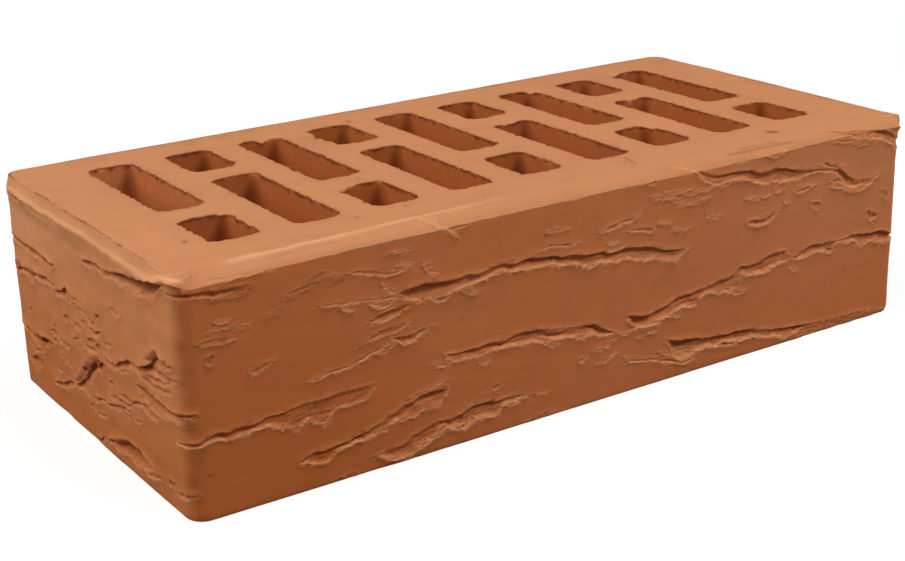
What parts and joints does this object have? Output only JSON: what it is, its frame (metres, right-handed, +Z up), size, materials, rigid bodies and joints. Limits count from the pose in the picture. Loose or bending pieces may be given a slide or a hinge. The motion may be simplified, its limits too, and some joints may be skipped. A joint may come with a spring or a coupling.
{
  "type": "perforated facing brick",
  "caption": "Fired-clay facing brick, slotted through from bed to bed, with dressed top edges and a bark-like relief on its face and heads.",
  "frame": {"origin": "middle of the lower bed, on the surface that the brick lies on", "axes": "+X along the length, from head to head; +Y from the textured face to the plain back; +Z up, the way the slots run"},
  "size_m": [0.25, 0.12, 0.065],
  "materials": {
    "fired_clay": "matt, fired, unglazed"
  },
  "bodies": {
    "root": {"brick": "fired_clay"}
  },
  "joints": []
}
